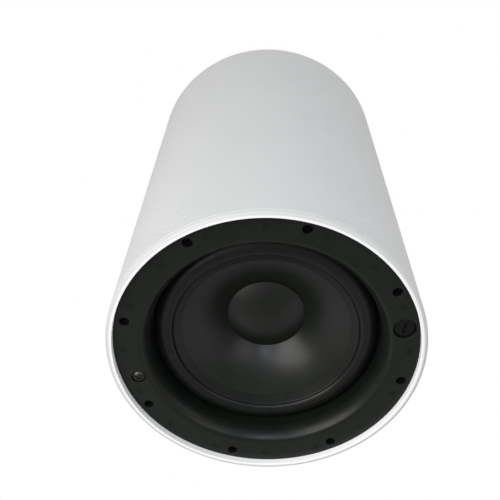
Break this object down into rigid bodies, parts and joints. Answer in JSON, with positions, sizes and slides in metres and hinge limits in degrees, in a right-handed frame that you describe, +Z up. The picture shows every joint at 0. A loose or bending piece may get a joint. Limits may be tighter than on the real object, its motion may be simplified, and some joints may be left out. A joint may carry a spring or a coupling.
{
  "type": "pendant subwoofer",
  "caption": "Ceiling-hung cylindrical subwoofer, mouth down: white perforated sleeve, white mouth ring, black recessed baffle, long-throw cone driver and top hanging eyes.",
  "frame": {"origin": "centre of the mouth ring's lowest face, on the cylinder's axis", "axes": "+Z up the cylinder's axis from the mouth to the hanging hardware; +X along the row of hanging eyes; -Y the side that the reference view is taken from"},
  "size_m": [0.264, 0.264, 0.4461],
  "materials": {
    "white_trim": "satin white moulding",
    "white_mesh": "powder-coated perforated steel",
    "white_shell": "matt off-white moulding",
    "black_plastic": "fine-grained satin black",
    "black_rubber": "satin butyl rubber",
    "black_cone": "semi-gloss mineral-filled polypropylene",
    "black_foam": "matt closed-cell foam",
    "black_steel": "black coated steel",
    "bright_steel": "bright zinc",
    "zinc_steel": "zinc-plated",
    "ferrite": "sintered ferrite",
    "copper": "enamelled copper",
    "spider_cloth": "resin-dipped woven cloth",
    "former_paper": "pressed fibre",
    "lamination": "varnished laminations",
    "coil_tape": "polyester winding tape",
    "board_green": "circuit board with solder mask",
    "capacitor_film": "shrink sleeve",
    "wadding": "polyester wadding",
    "lead_sheath": "two-core insulated lead",
    "connector_green": "moulded terminal block"
  },
  "bodies": {
    "housing": {"baffle": "black_plastic", "baffle_gasket": "black_foam", "baffle_screw_1": "black_steel", "baffle_screw_2": "black_steel", "baffle_screw_3": "black_steel", "baffle_screw_4": "black_steel", "baffle_screw_5": "black_steel", "baffle_screw_6": "black_steel", "baffle_screw_7": "black_steel", "baffle_screw_8": "black_steel", "basket": "black_steel", "cabinet_shell": "white_shell", "cable_gland": "black_plastic", "damping_liner": "wadding", "driver_gasket": "black_foam", "driver_lead": "lead_sheath", "driver_screw_1": "black_steel", "driver_screw_2": "black_steel", "driver_screw_3": "black_steel", "driver_screw_4": "black_steel", "driver_terminal": "former_paper", "filter_board": "board_green", "filter_capacitor_1": "capacitor_film", "filter_capacitor_2": "capacitor_film", "filter_inductor": "copper", "front_plate": "zinc_steel", "hang_plate": "zinc_steel", "inlet_header": "connector_green", "inlet_lead": "lead_sheath", "inlet_plate": "black_steel", "inlet_screw_1": "bright_steel", "inlet_screw_2": "bright_steel", "load_eye_left_bolt": "zinc_steel", "load_eye_left_nut": "zinc_steel", "load_eye_right_bolt": "zinc_steel", "load_eye_right_nut": "zinc_steel", "magnet": "ferrite", "mouth_ring": "white_trim", "perforated_sleeve": "white_mesh", "safety_eye_bolt": "zinc_steel", "safety_eye_nut": "zinc_steel", "spider": "spider_cloth", "surround": "black_rubber", "switch_lead": "lead_sheath", "tap_switch_body": "black_plastic", "tether_screw": "bright_steel", "tinsel_lead_1": "copper", "tinsel_lead_2": "copper", "top_cap": "white_shell", "transformer_bracket": "zinc_steel", "transformer_core": "lamination", "transformer_winding": "coil_tape", "yoke": "zinc_steel"},
    "diaphragm": {"cone": "black_cone", "dust_cap": "black_cone", "coil_former": "former_paper", "voice_coil": "copper"},
    "selector": {"tap_selector": "black_plastic"}
  },
  "joints": [
    {"name": "cone_travel", "type": "slide", "parent": "housing", "child": "diaphragm", "axis": [0, 0, 1], "range_m": [-0.006, 0.006], "stiffness_N_per_m": 2500, "deforming": ["surround", "spider", "tinsel_lead_1", "tinsel_lead_2"]},
    {"name": "tap_select", "type": "hinge", "parent": "housing", "child": "selector", "pos_m": [0.11191, -0.02277, 0.0087], "axis": [0, 0, -1], "range_deg": [0, 150]}
  ]
}
